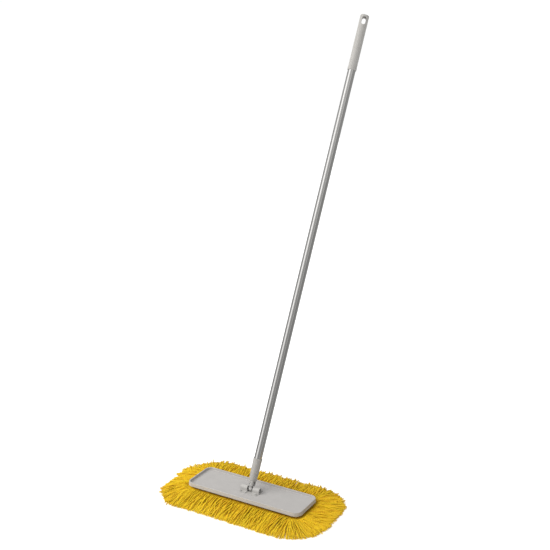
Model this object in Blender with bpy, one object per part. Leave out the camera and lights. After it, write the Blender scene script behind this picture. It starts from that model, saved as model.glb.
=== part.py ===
"""A flat dust mop: a shallow plastic tray plate, a fringed yarn refill under it and a swivel pole.

Metres, +Z up. The origin is the middle of the yarn's underside, which stands on the floor. X runs
along the plate, and +Y is the side that the pole leans towards. The pole is modelled at its rest
pose: it hangs from two pins, the lean pin along X and, above it, the tilt pin across the pole.
"""

import math

import bmesh
import bpy
from mathutils import Matrix, Vector

GAP = 0.0003  # left between pieces that touch, and round every pin

# Layers from the floor up
PAD_THICKNESS = 0.0083
BACKING_THICKNESS = 0.0022
LOOP_THICKNESS = 0.0014
HOOK_THICKNESS = 0.0018
PLATE_FLOOR = 0.0055
TRAY_DEPTH = 0.0076
POCKET_DEPTH = 0.0025  # the swivel bracket is let into the tray floor

# Plate
PLATE_LENGTH = 0.420
PLATE_WIDTH = 0.130
PLATE_CORNER = 0.022
RIM_WIDTH = 0.0047
PLATE_EDGE_ROUND = 0.0040  # the rounding of the outer wall into the underside

# Yarn refill: every outline is the spine rectangle grown by an offset
SPINE_LENGTH = 0.350
SPINE_WIDTH = 0.080
PAD_OFFSET = 0.010
BACKING_OFFSET = 0.016
EDGE_TAPE_WIDTH = 0.0025
FRINGE_OFFSET = 0.128
FRINGE_ROOT = 0.0080  # yarn height where the strands leave the pad
FRINGE_CROWN = 0.0120  # greatest yarn height, outside the plate
FRINGE_TIP = 0.0040  # yarn height at the tips
STRIP_LENGTH = 0.350
STRIP_WIDTH = 0.030
STRIP_CENTRE_Y = 0.026

# Swivel joint
PIN_ABOVE_RIM = 0.0010
PIN_SPACING = 0.0150
REST_LEAN = math.radians(18.72)  # about the lean pin, towards +Y
REST_TILT = math.radians(4.88)  # about the tilt pin, towards +X
BRACKET_LENGTH = 0.068
BRACKET_WIDTH = 0.044
FLANGE_THICKNESS = 0.0030
FLANGE_CORNER = 0.006
SLOT_WIDTH = 0.020
SLOT_FLOOR = 0.0012  # flange thickness left under the slot
LUG_RADIUS = 0.0092
LEAN_PIN_RADIUS = 0.0035
CAP_RADIUS = 0.0056
CAP_THICKNESS = 0.0020
BUSH_RADIUS = 0.0052
TONGUE_WIDTH = 0.0100
KNUCKLE_RADIUS = 0.0070
KNUCKLE_THICKNESS = 0.0084
TILT_PIN_RADIUS = 0.0028
TILT_HEAD_RADIUS = 0.0044
TILT_HEAD_THICKNESS = 0.0013
WASHER_THICKNESS = 0.0007
WASHER_RADIUS = 0.0064
BRACKET_SCREW_X = 0.0285
BRACKET_SCREW_Y = 0.0165

# Screws
SCREW_RADIUS = 0.0020
SCREW_HEAD_RADIUS = 0.0036
SCREW_HEAD_HEIGHT = 0.0022

# Pole, measured along its own axis from the tilt pin
PRONG_THICKNESS = 0.0050
PRONG_RADIUS = 0.0080
FORK_ROOF = 0.0093  # underside of the web that joins the prongs
SOCKET_START = 0.0120
SOCKET_END = 0.0850
SOCKET_LOW_RADIUS = 0.0127
SOCKET_TOP_RADIUS = 0.0145
CORE_RADIUS = 0.0090
CORE_START = 0.0240
TUBE_RADIUS = 0.0127
TUBE_WALL = 0.0010
TUBE_START = 0.0450
TUBE_END = 1.4840
PLUG_LENGTH = 0.0300
SOCKET_SCREW_AT = 0.0620
GRIP_START = 1.3735
GRIP_END = 1.5558
GRIP_RADIUS = 0.0143
GRIP_COLLAR_RADIUS = 0.0149
GRIP_COLLAR_LENGTH = 0.0085
GRIP_TOP_ROUND = 0.0035
HANG_HOLE_WIDTH = 0.0125
HANG_HOLE_LENGTH = 0.0265
HANG_HOLE_AT = 1.5362
HANG_HOLE_TURN = math.radians(27.5)  # about the pole, from the -Y side towards +X

# Levels that follow from the layers
BACKING_Z = PAD_THICKNESS + GAP
LOOP_Z = BACKING_Z + BACKING_THICKNESS + GAP
HOOK_Z = LOOP_Z + LOOP_THICKNESS + GAP
PLATE_Z = HOOK_Z + HOOK_THICKNESS + GAP
TRAY_Z = PLATE_Z + PLATE_FLOOR
RIM_Z = TRAY_Z + TRAY_DEPTH
BRACKET_Z = TRAY_Z - POCKET_DEPTH + GAP
FLANGE_TOP = BRACKET_Z + FLANGE_THICKNESS
LEAN_PIN_Z = RIM_Z + PIN_ABOVE_RIM

ROUND_STEPS = 32  # sides of a large round piece
SMALL_STEPS = 20  # sides of a pin, bore or screw
CORNER_STEPS = 6  # facets in a quarter of a rounded outline


def clear_scene():
    for obj in list(bpy.data.objects):
        bpy.data.objects.remove(obj, do_unlink=True)


def make_material(name, colour, roughness, metallic=0.0):
    material = bpy.data.materials.new(name)
    material.use_nodes = True
    shader = material.node_tree.nodes["Principled BSDF"]
    shader.inputs["Base Color"].default_value = (*colour, 1.0)
    shader.inputs["Roughness"].default_value = roughness
    shader.inputs["Metallic"].default_value = metallic
    material.diffuse_color = (*colour, 1.0)
    return material


def add_empty(name, parent=None, location=(0, 0, 0), rotation=(0, 0, 0)):
    empty = bpy.data.objects.new(name, None)
    bpy.context.scene.collection.objects.link(empty)
    empty.empty_display_size = 0.02
    empty.parent = parent
    empty.location = location
    empty.rotation_euler = rotation
    return empty


def add_object(name, bm, material=None, parent=None, location=(0, 0, 0), rotation=(0, 0, 0)):
    """The bmesh as an object, closed, facing out, and smooth except at its sharp edges."""
    bmesh.ops.remove_doubles(bm, verts=bm.verts, dist=1e-6)
    bmesh.ops.recalc_face_normals(bm, faces=bm.faces)
    mesh = bpy.data.meshes.new(name)
    bm.to_mesh(mesh)
    bm.free()
    mesh.shade_smooth()
    mesh.set_sharp_from_angle(angle=math.radians(35))
    if material:
        mesh.materials.append(material)
    obj = bpy.data.objects.new(name, mesh)
    bpy.context.scene.collection.objects.link(obj)
    obj.parent = parent
    obj.location = location
    obj.rotation_euler = rotation
    return obj


def hide_helper(obj):
    obj.hide_render = True
    obj.display_type = "WIRE"


def combine(obj, other, operation="DIFFERENCE"):
    """Cuts the helper object from obj, joins it on, or keeps what the two share."""
    hide_helper(other)
    boolean = obj.modifiers.new(other.name, "BOOLEAN")
    boolean.operation = operation
    boolean.object = other


def rounded_outline(half_x, half_y, radius):
    """Points of a rectangle with rounded corners, counterclockwise from its +X, -Y corner."""
    points = []
    for quarter, (side_x, side_y) in enumerate(((1, -1), (1, 1), (-1, 1), (-1, -1))):
        centre = Vector((side_x * (half_x - radius), side_y * (half_y - radius)))
        for step in range(CORNER_STEPS + 1):
            angle = math.radians(-90 + 90 * (quarter + step / CORNER_STEPS))
            points.append(centre + radius * Vector((math.cos(angle), math.sin(angle))))
    return points


def loft(rings):
    """A closed solid through rings of equally many points, with a flat cap at each end."""
    bm = bmesh.new()
    loops = [[bm.verts.new(point) for point in ring] for ring in rings]
    count = len(loops[0])
    for low, high in zip(loops, loops[1:]):
        for i in range(count):
            j = (i + 1) % count
            bm.faces.new((low[i], low[j], high[j], high[i]))
    bm.faces.new(reversed(loops[0]))
    bm.faces.new(loops[-1])
    return bm


def prism(outline, low, high):
    """The outline extruded from one height to another."""
    return loft([[(x, y, z) for x, y in outline] for z in (low, high)])


def turned(profile, steps=ROUND_STEPS):
    """The (radius, height) profile turned about Z. It ends on the axis, or closes on itself."""
    bm = bmesh.new()
    verts = [bm.verts.new((radius, 0, height)) for radius, height in profile]
    edges = [bm.edges.new(pair) for pair in zip(verts, verts[1:])]
    if profile[0][0] > 0:
        edges.append(bm.edges.new((verts[-1], verts[0])))
    bmesh.ops.spin(
        bm, geom=verts + edges, axis=(0, 0, 1), cent=(0, 0, 0), angle=math.tau, steps=steps
    )
    return bm


def rod(radius, low, high, steps=SMALL_STEPS):
    return turned([(0, low), (radius, low), (radius, high), (0, high)], steps)


def ring(inner, outer, low, high, steps=SMALL_STEPS):
    return turned([(inner, low), (outer, low), (outer, high), (inner, high)], steps)


def box(low, high):
    size = Vector(high) - Vector(low)
    middle = (Vector(high) + Vector(low)) / 2
    bm = bmesh.new()
    bmesh.ops.create_cube(bm, size=1, matrix=Matrix.LocRotScale(middle, None, size))
    return bm


ALONG_X = (0, math.pi / 2, 0)  # turns a piece made along Z to lie along +X
ALONG_Y = (-math.pi / 2, 0, 0)  # turns a piece made along Z to lie along +Y


def make_plate(plastic):
    """The tray: a flat-topped rim, a floor with a pocket for the bracket, and a rounded underside."""
    sections = (
        (PLATE_EDGE_ROUND, PLATE_Z),
        (PLATE_EDGE_ROUND * 0.30, PLATE_Z + PLATE_EDGE_ROUND * 0.30),
        (0, PLATE_Z + PLATE_EDGE_ROUND),
        (0, RIM_Z - 0.0009),
        (0.0009, RIM_Z),
        (RIM_WIDTH - 0.0007, RIM_Z),
        (RIM_WIDTH, RIM_Z - 0.0007),
        (RIM_WIDTH + 0.0004, TRAY_Z + 0.0012),
        (RIM_WIDTH + 0.0016, TRAY_Z),
    )
    rings = []
    for inset, z in sections:
        half_x, half_y = PLATE_LENGTH / 2 - inset, PLATE_WIDTH / 2 - inset
        outline = rounded_outline(half_x, half_y, PLATE_CORNER - inset)
        rings.append([(x, y, z) for x, y in outline])
    plate = add_object("base_plate", loft(rings), plastic)
    half_x, half_y = BRACKET_LENGTH / 2 + GAP, BRACKET_WIDTH / 2 + GAP
    pocket = prism(rounded_outline(half_x, half_y, FLANGE_CORNER + GAP), BRACKET_Z - GAP, RIM_Z)
    combine(plate, add_object("bracket_pocket", pocket))
    for number, (x, y) in enumerate(bracket_screw_places(), 1):
        hole = rod(SCREW_RADIUS + GAP, PLATE_Z - 0.002, TRAY_Z + 0.002)
        combine(plate, add_object(f"plate_hole_{number}", hole, location=(x, y, 0)))


def make_strips(name, low, thickness, material):
    for side, where in ((-1, "front"), (1, "rear")):
        outline = rounded_outline(STRIP_LENGTH / 2, STRIP_WIDTH / 2, 0.003)
        bm = prism(outline, low, low + thickness)
        add_object(f"{name}_{where}", bm, material, location=(0, side * STRIP_CENTRE_Y, 0))


def bracket_screw_places():
    return [(x * BRACKET_SCREW_X, y * BRACKET_SCREW_Y) for x in (-1, 1) for y in (-1, 1)]


def lug(side):
    """One pillow block, round over the lean pin, in the bracket's own place."""
    low, high = SLOT_WIDTH / 2, BRACKET_LENGTH / 2
    foot = FLANGE_TOP - 0.001 - LEAN_PIN_Z
    profile = [(-LUG_RADIUS, foot)]
    for step in range(ROUND_STEPS // 2 + 1):
        angle = math.pi - math.tau * step / ROUND_STEPS
        profile.append((LUG_RADIUS * math.cos(angle), LUG_RADIUS * math.sin(angle)))
    profile.append((LUG_RADIUS, foot))
    ends = [[(side * x, y, LEAN_PIN_Z + z) for y, z in profile] for x in (low, high)]
    return loft(ends)


def make_bracket(plastic):
    """The flange with its two lugs, a slot between them and a bore for the lean pin."""
    outline = rounded_outline(BRACKET_LENGTH / 2, BRACKET_WIDTH / 2, FLANGE_CORNER)
    bracket = add_object("swivel_bracket", prism(outline, BRACKET_Z, FLANGE_TOP), plastic)
    for side, where in ((-1, "left"), (1, "right")):
        combine(bracket, add_object(f"lug_{where}", lug(side)), "UNION")
    reach = BRACKET_LENGTH / 2 + 0.002
    slot_low = (-SLOT_WIDTH / 2, -BRACKET_WIDTH, BRACKET_Z + SLOT_FLOOR)
    slot_high = (SLOT_WIDTH / 2, BRACKET_WIDTH, LEAN_PIN_Z)
    combine(bracket, add_object("slot_cutter", box(slot_low, slot_high)))
    bore = rod(LEAN_PIN_RADIUS + GAP, -reach, reach)
    at_pin = {"location": (0, 0, LEAN_PIN_Z), "rotation": ALONG_X}
    combine(bracket, add_object("lean_bore", bore, **at_pin))
    recess = CAP_THICKNESS + 0.0006
    for side, where in ((-1, "left"), (1, "right")):
        ends = sorted((side * (BRACKET_LENGTH / 2 - recess), side * reach))
        counterbore = rod(CAP_RADIUS + GAP, *ends, ROUND_STEPS)
        combine(bracket, add_object(f"cap_recess_{where}", counterbore, **at_pin))
    for number, (x, y) in enumerate(bracket_screw_places(), 1):
        hole = rod(SCREW_RADIUS + GAP, BRACKET_Z - 0.002, FLANGE_TOP + 0.002)
        combine(bracket, add_object(f"flange_hole_{number}", hole, location=(x, y, 0)))


def screw(name, shank, steel, parent=None, location=(0, 0, 0), rotation=(0, 0, 0)):
    """A pan-head screw along Z: the underside of its head is at z = 0, with a cross recess."""
    head, high = SCREW_HEAD_RADIUS, SCREW_HEAD_HEIGHT
    profile = [(0, -shank), (SCREW_RADIUS * 0.5, -shank), (SCREW_RADIUS, -shank + 0.0012)]
    profile += [(SCREW_RADIUS, 0), (head, 0), (head, high * 0.45), (head * 0.7, high), (0, high)]
    place = {"parent": parent, "location": location, "rotation": rotation}
    body = add_object(name, turned(profile, SMALL_STEPS), steel, **place)
    arm, half = head * 0.62, 0.00045
    cross = [(-arm, -half), (-half, -half), (-half, -arm), (half, -arm), (half, -half)]
    cross += [(arm, -half), (arm, half), (half, half), (half, arm), (-half, arm)]
    cross += [(-half, half), (-arm, half)]
    cutter = prism([Vector(point) for point in cross], high * 0.4, high + 0.001)
    combine(body, add_object(f"{name}_recess", cutter, **place))


def make_lean_pin(steel, plastic, axis_z=LEAN_PIN_Z):
    at_pin = {"location": (0, 0, axis_z), "rotation": ALONG_X}
    end = BRACKET_LENGTH / 2 - 0.0008
    chamfer = 0.0005
    radius = LEAN_PIN_RADIUS
    profile = [(0, -end), (radius - chamfer, -end), (radius, chamfer - end)]
    profile += [(radius, end - chamfer), (radius - chamfer, end), (0, end)]
    add_object("lean_pin", turned(profile, SMALL_STEPS), steel, **at_pin)
    for side, where in ((-1, "left"), (1, "right")):
        ends = sorted((side * (TONGUE_WIDTH / 2 + GAP), side * (SLOT_WIDTH / 2 - GAP)))
        bush = ring(radius + GAP, BUSH_RADIUS, *ends)
        add_object(f"lean_bush_{where}", bush, plastic, **at_pin)
        outer = BRACKET_LENGTH / 2 - GAP
        ends = sorted((side * (outer - CAP_THICKNESS), side * outer))
        cap = ring(radius + GAP, CAP_RADIUS, *ends)
        add_object(f"lean_pin_cap_{where}", cap, plastic, **at_pin)


def make_knuckle(plastic, lean_axis):
    """The cross block: a barrel on the lean pin, and one on the tilt pin above it."""
    half_tongue, half_thick = TONGUE_WIDTH / 2, KNUCKLE_THICKNESS / 2
    barrel = rod(KNUCKLE_RADIUS, -half_tongue, half_tongue, ROUND_STEPS)
    knuckle = add_object("knuckle", barrel, plastic, lean_axis, rotation=ALONG_X)
    inset = 0.0002
    low = (inset - half_tongue, inset - half_thick, 0)
    high = (half_tongue - inset, half_thick - inset, PIN_SPACING)
    combine(knuckle, add_object("knuckle_neck", box(low, high), parent=lean_axis), "UNION")
    at_tilt = {"parent": lean_axis, "location": (0, 0, PIN_SPACING), "rotation": ALONG_Y}
    upper = rod(KNUCKLE_RADIUS, -half_thick, half_thick, ROUND_STEPS)
    combine(knuckle, add_object("knuckle_upper", upper, **at_tilt), "UNION")
    lean_bore = rod(LEAN_PIN_RADIUS + GAP, -0.02, 0.02)
    cutter = add_object("knuckle_lean_bore", lean_bore, parent=lean_axis, rotation=ALONG_X)
    combine(knuckle, cutter)
    tilt_bore = rod(TILT_PIN_RADIUS + GAP, -0.02, 0.02)
    combine(knuckle, add_object("knuckle_tilt_bore", tilt_bore, **at_tilt))


def make_tilt_washers(plastic, lean_axis):
    for side, where in ((-1, "front"), (1, "rear")):
        near = KNUCKLE_THICKNESS / 2 + GAP
        ends = sorted((side * near, side * (near + WASHER_THICKNESS)))
        washer = ring(TILT_PIN_RADIUS + GAP, WASHER_RADIUS, *ends)
        place = {"location": (0, 0, PIN_SPACING), "rotation": ALONG_Y}
        add_object(f"tilt_washer_{where}", washer, plastic, lean_axis, **place)


def prong_faces():
    """Distances of a prong's inner and outer face from the middle of the fork."""
    inner = KNUCKLE_THICKNESS / 2 + WASHER_THICKNESS + 2 * GAP
    return inner, inner + PRONG_THICKNESS


def make_socket(plastic, tilt_axis):
    """The fork on the tilt pin, and the tapered sleeve that the tube is pushed into."""
    bore = TUBE_RADIUS + GAP
    seat = TUBE_START - GAP
    bead = SOCKET_END - 0.0055
    profile = [
        (0, SOCKET_START),
        (SOCKET_LOW_RADIUS - 0.0010, SOCKET_START),
        (SOCKET_LOW_RADIUS, SOCKET_START + 0.0010),
        (SOCKET_TOP_RADIUS - 0.0005, TUBE_START - 0.004),
        (SOCKET_TOP_RADIUS - 0.0002, bead),
        (SOCKET_TOP_RADIUS + 0.0004, bead + 0.0008),
        (SOCKET_TOP_RADIUS + 0.0004, SOCKET_END - 0.0008),
        (SOCKET_TOP_RADIUS - 0.0004, SOCKET_END),
        (bore, SOCKET_END),
        (bore, seat),
        (CORE_RADIUS, seat),
        (CORE_RADIUS, CORE_START),
        (0, CORE_START),
    ]
    socket = add_object("handle_socket", turned(profile), plastic, tilt_axis)
    inner, outer = prong_faces()
    across = {"parent": tilt_axis, "rotation": ALONG_Y}
    top = SOCKET_START + 0.006
    fork = add_object(
        "fork_block", box((-PRONG_RADIUS, -outer, 0), (PRONG_RADIUS, outer, top)), parent=tilt_axis
    )
    combine(fork, add_object("fork_round", rod(PRONG_RADIUS, -outer, outer, 24), **across), "UNION")
    bound = rod(SOCKET_LOW_RADIUS - 0.0002, -0.02, 0.04, ROUND_STEPS)
    combine(fork, add_object("fork_bound", bound, parent=tilt_axis), "INTERSECT")
    gap_box = box((-0.02, -inner, -0.02), (0.02, inner, FORK_ROOF))
    combine(fork, add_object("fork_gap", gap_box, parent=tilt_axis))
    combine(socket, fork, "UNION")
    bore_cutter = rod(TILT_PIN_RADIUS + GAP, -0.02, 0.02)
    combine(socket, add_object("prong_bore", bore_cutter, **across))
    recess = TILT_HEAD_THICKNESS + 2 * GAP
    for side, where in ((-1, "front"), (1, "rear")):
        ends = sorted((side * (outer - recess), side * (outer + 0.003)))
        counterbore = rod(TILT_HEAD_RADIUS + GAP, *ends)
        combine(socket, add_object(f"head_recess_{where}", counterbore, **across))
    combine(socket, socket_screw_hole("socket_screw_hole", tilt_axis))


def socket_screw_hole(name, tilt_axis):
    """A cutter for the screw that comes in from the rear of the pole."""
    hole = rod(SCREW_RADIUS + GAP, 0.004, 0.020)
    place = {"location": (0, 0, SOCKET_SCREW_AT), "rotation": ALONG_Y}
    return add_object(name, hole, parent=tilt_axis, **place)


def make_tilt_pin(steel, tilt_axis):
    outer = prong_faces()[1]
    head_low, head_high = GAP - outer, GAP - outer + TILT_HEAD_THICKNESS
    profile = [(0, head_low), (TILT_HEAD_RADIUS - 0.0004, head_low)]
    profile += [(TILT_HEAD_RADIUS, head_low + 0.0004), (TILT_HEAD_RADIUS, head_high)]
    profile += [(TILT_PIN_RADIUS, head_high), (TILT_PIN_RADIUS, outer - GAP), (0, outer - GAP)]
    pin = turned(profile, SMALL_STEPS)
    add_object("tilt_pin", pin, steel, tilt_axis, rotation=ALONG_Y)
    cap = ring(TILT_PIN_RADIUS + GAP, TILT_HEAD_RADIUS, -head_high, -head_low)
    add_object("tilt_pin_cap", cap, steel, tilt_axis, rotation=ALONG_Y)


def make_tube(metal, tilt_axis):
    inner = TUBE_RADIUS - TUBE_WALL
    tube = ring(inner, TUBE_RADIUS, TUBE_START, TUBE_END, ROUND_STEPS)
    pole = add_object("pole_tube", tube, metal, tilt_axis)
    combine(pole, socket_screw_hole("tube_screw_hole", tilt_axis))


def make_plug(plastic, tilt_axis):
    """The hollow plug that stiffens the tube's lower end for the screw."""
    outer = TUBE_RADIUS - TUBE_WALL - GAP
    wall = 0.0032
    top = TUBE_START + PLUG_LENGTH
    profile = [(0, TUBE_START), (outer, TUBE_START), (outer, top), (outer - wall, top)]
    profile += [(outer - wall, TUBE_START + wall), (0, TUBE_START + wall)]
    plug = add_object("pole_foot_plug", turned(profile), plastic, tilt_axis)
    combine(plug, socket_screw_hole("plug_screw_hole", tilt_axis))


def make_grip(plastic, tilt_axis):
    """The moulded hand grip: a collar at its mouth, a round top and an oval hole to hang it by."""
    bore = TUBE_RADIUS + GAP
    neck = GRIP_START + GRIP_COLLAR_LENGTH
    profile = [
        (bore, GRIP_START),
        (GRIP_COLLAR_RADIUS - 0.0006, GRIP_START),
        (GRIP_COLLAR_RADIUS, GRIP_START + 0.0006),
        (GRIP_COLLAR_RADIUS, neck),
        (GRIP_RADIUS, neck + 0.0025),
    ]
    for step in range(5):
        angle = math.pi / 2 * step / 4
        across = GRIP_RADIUS - GRIP_TOP_ROUND * (1 - math.cos(angle))
        profile.append((across, GRIP_END - GRIP_TOP_ROUND * (1 - math.sin(angle))))
    profile += [(0, GRIP_END), (0, TUBE_END + GAP), (bore, TUBE_END + GAP)]
    grip = add_object("grip", turned_with_axis(profile), plastic, tilt_axis)
    half = HANG_HOLE_WIDTH / 2
    outline = rounded_outline(half, HANG_HOLE_LENGTH / 2, half - 0.0001)
    turn = Matrix.Rotation(HANG_HOLE_TURN, 3, "Z") @ Matrix.Rotation(math.pi / 2, 3, "X")
    place = {"location": (0, 0, HANG_HOLE_AT), "rotation": turn.to_euler()}
    cutter = add_object("hang_hole", prism(outline, -0.02, 0.02), parent=tilt_axis, **place)
    combine(grip, cutter)


def turned_with_axis(profile):
    """A turned piece whose closed profile touches the axis only between two of its points."""
    start = next(i for i, (radius, _) in enumerate(profile) if radius == 0)
    after = profile[start + 1 :] + profile[: start + 1]
    return turned(after)


def spine_points(start, end):
    """(corner or edge point, outward normal) pairs along one side, between two diagonals."""
    half_x, half_y = SPINE_LENGTH / 2, SPINE_WIDTH / 2
    pairs = []
    for first, last in ((start, (start + end) / 2), ((start + end) / 2, end)):
        middle = math.radians((first + last) / 2)
        corner = Vector((math.copysign(half_x, math.cos(middle)), math.copysign(half_y, math.sin(middle))))
        for step in range(CORNER_STEPS + 1):
            angle = math.radians(first + (last - first) * step / CORNER_STEPS)
            pairs.append((corner, Vector((math.cos(angle), math.sin(angle)))))
    return pairs


def make_fringe(name, middle, yarn):
    """One side's strands as a solid: low at the pad, crowned outside the plate, thin at the tips."""
    width = FRINGE_OFFSET - PAD_OFFSET
    sections = (
        (PAD_OFFSET + GAP, FRINGE_ROOT),
        (PAD_OFFSET + width * 0.22, FRINGE_ROOT),
        (PAD_OFFSET + width * 0.45, FRINGE_CROWN),
        (PAD_OFFSET + width * 0.70, FRINGE_CROWN * 0.9),
        (PAD_OFFSET + width * 0.90, (FRINGE_CROWN + FRINGE_TIP) / 2),
        (FRINGE_OFFSET, FRINGE_TIP),
    )
    split = math.degrees(GAP / PAD_OFFSET)
    rings = []
    for corner, normal in spine_points(middle - 45 + split, middle + 45 - split):
        bottom = [(*(corner + normal * offset), 0) for offset, _ in reversed(sections)]
        top = [(*(corner + normal * offset), height) for offset, height in sections]
        rings.append(bottom + top)
    add_object(name, loft(rings), yarn)


def make_refill(yarn, cloth, loop_tape):
    def outline(offset):
        return rounded_outline(SPINE_LENGTH / 2 + offset, SPINE_WIDTH / 2 + offset, offset)

    add_object("yarn_pad", prism(outline(PAD_OFFSET), 0, PAD_THICKNESS), yarn)
    backing_top = BACKING_Z + BACKING_THICKNESS
    add_object("mop_backing", prism(outline(BACKING_OFFSET), BACKING_Z, backing_top), cloth)
    tape_inner = BACKING_OFFSET + GAP
    tape = prism(outline(tape_inner + EDGE_TAPE_WIDTH), BACKING_Z, backing_top)
    edge_tape = add_object("edge_tape", tape, cloth)
    opening = prism(outline(tape_inner), BACKING_Z - 0.002, backing_top + 0.002)
    combine(edge_tape, add_object("tape_opening", opening))
    make_strips("loop_strip", LOOP_Z, LOOP_THICKNESS, loop_tape)
    sides = (("front", -90), ("right", 0), ("rear", 90), ("left", 180))
    for where, middle in sides:
        make_fringe(f"fringe_{where}", middle, yarn)


def main():
    clear_scene()
    tray_grey = make_material("tray_plastic", (0.52, 0.50, 0.47), 0.45)
    joint_grey = make_material("joint_plastic", (0.46, 0.45, 0.43), 0.42)
    dark_plastic = make_material("bush_plastic", (0.16, 0.16, 0.16), 0.5)
    steel = make_material("zinc_steel", (0.55, 0.55, 0.56), 0.35, 1.0)
    tube_metal = make_material("satin_aluminium", (0.70, 0.69, 0.67), 0.32, 1.0)
    yarn = make_material("yellow_yarn", (0.72, 0.42, 0.03), 0.9)
    cloth = make_material("backing_cloth", (0.62, 0.40, 0.06), 0.9)
    loop_tape = make_material("loop_tape", (0.55, 0.53, 0.48), 0.95)
    hook_tape = make_material("hook_tape", (0.30, 0.30, 0.30), 0.7)

    make_plate(tray_grey)
    make_strips("hook_strip", HOOK_Z, HOOK_THICKNESS, hook_tape)
    make_bracket(joint_grey)
    for number, (x, y) in enumerate(bracket_screw_places(), 1):
        head_z = FLANGE_TOP + GAP
        screw(f"bracket_screw_{number}", head_z - PLATE_Z - GAP, steel, location=(x, y, head_z))
    make_lean_pin(steel, dark_plastic)

    lean_axis = add_empty("lean_axis", None, (0, 0, LEAN_PIN_Z), (-REST_LEAN, 0, 0))
    tilt_axis = add_empty("tilt_axis", lean_axis, (0, 0, PIN_SPACING), (0, REST_TILT, 0))
    make_knuckle(joint_grey, lean_axis)
    make_tilt_washers(dark_plastic, lean_axis)
    make_socket(joint_grey, tilt_axis)
    make_tilt_pin(steel, tilt_axis)
    make_tube(tube_metal, tilt_axis)
    make_plug(dark_plastic, tilt_axis)
    screw_seat = SOCKET_TOP_RADIUS + GAP
    place = {"location": (0, screw_seat, SOCKET_SCREW_AT), "rotation": ALONG_Y}
    screw("socket_screw", 0.0060, steel, tilt_axis, **place)
    make_grip(joint_grey, tilt_axis)
    make_refill(yarn, cloth, loop_tape)


main()
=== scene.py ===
"""The looks of a flat dust mop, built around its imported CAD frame.

Metres, +Z up, in the frame of the CAD: the floor is z = 0, X runs along the plate, and the pole
leans towards +Y. Every piece rides on the CAD body that it belongs to.
"""

import math
from dataclasses import dataclass

import bmesh
import bpy
import numpy as np
from mathutils import Matrix, Vector


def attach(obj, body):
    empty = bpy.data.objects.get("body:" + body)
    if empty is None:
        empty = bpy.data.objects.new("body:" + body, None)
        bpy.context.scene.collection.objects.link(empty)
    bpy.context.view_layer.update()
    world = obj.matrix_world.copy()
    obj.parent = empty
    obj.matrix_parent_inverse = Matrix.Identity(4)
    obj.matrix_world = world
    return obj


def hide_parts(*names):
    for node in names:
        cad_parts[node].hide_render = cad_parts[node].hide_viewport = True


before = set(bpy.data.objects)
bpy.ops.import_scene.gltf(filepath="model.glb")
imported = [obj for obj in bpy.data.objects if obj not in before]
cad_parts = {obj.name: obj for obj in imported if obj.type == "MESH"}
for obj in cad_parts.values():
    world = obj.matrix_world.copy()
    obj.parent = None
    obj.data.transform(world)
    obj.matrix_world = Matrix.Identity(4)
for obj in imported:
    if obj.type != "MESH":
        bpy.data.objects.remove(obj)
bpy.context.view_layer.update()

# Camera
CAMERA_PLACE = (1.3252, -2.1179, 1.3570)
CAMERA_AIM = (-0.48927, 0.83840, -0.24023)
CAMERA_LENS, SENSOR_WIDTH = 55.636, 36.0  # mm

# Lights
KEY_FROM = (-0.31, -0.63, 0.71)
KEY_POWER, KEY_ANGLE = 1.0, math.radians(45)
SIDE_PLACE, SIDE_POWER, SIDE_SIZE = (-1.75, -1.05, 1.5), 28, 1.3
LIGHT_COLOUR = (1.0, 0.99, 0.97)
FLOOR_GLOW = 0.34
BRIGHT_WALL = (-0.48, -0.877, 0.0)  # the way to it
# How bright the room is, from opposite the bright wall (0) round to it (1), and its ceiling
ROOM = ((0.0, 0.44), (0.3, 0.37), (0.6, 0.40), (0.9, 0.62), (1.0, 0.96))
CEILING, CEILING_FROM, CEILING_FULL = 0.28, 0.25, 0.85
# What a glossy surface sees instead: a dim room, bright at that wall and in a panel to each side
REFLECTED = (
    (0.0, 0.44), (0.1, 0.42), (0.30, 0.31), (0.46, 0.36), (0.54, 0.75),
    (0.62, 0.37), (0.78, 0.33), (0.93, 0.42), (0.965, 0.52), (0.985, 1.20),
)
REFLECTED_LOW, REFLECTED_HIGH, LOW_Z, HIGH_Z = 0.66, 1.25, -0.1, 0.6  # its growth with height
BACKDROP = 1.02  # what the camera sees behind the floor

# Plate and layers, as in the CAD
PLATE_LENGTH, PLATE_WIDTH, PLATE_CORNER = 0.420, 0.130, 0.022
RIM_WIDTH = 0.0047
EDGE_ROUND = 0.0018
PLATE_Z, TRAY_Z, RIM_Z = 0.0149, 0.0204, 0.0280
BRACKET_Z, FLANGE_TOP = 0.0182, 0.0212
BACKING_Z, BACKING_TOP = 0.0086, 0.0108
LOOP_Z, LOOP_TOP = 0.0111, 0.0125
STRIP_X, STRIP_Y, STRIP_CENTRE = 0.175, 0.015, 0.026  # half sizes of a hook or loop tape
STRIP_CORNER = 0.003
GAP = 0.0003
CLEAR = 0.002  # how far a cutter stands past what it cuts
WELD = 2e-6

# Refill
SPINE_X, SPINE_Y = 0.175, 0.040  # half sizes of the rectangle that every outline is grown from
BACKING_OFFSET = 0.016
BINDING_OFFSET, BINDING_HALF_WIDTH = 0.01755, 0.00122
SEAM_OFFSET = 0.0150
LOOP_COUNT = 1500
HOOK_PITCH = 0.0021

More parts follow.
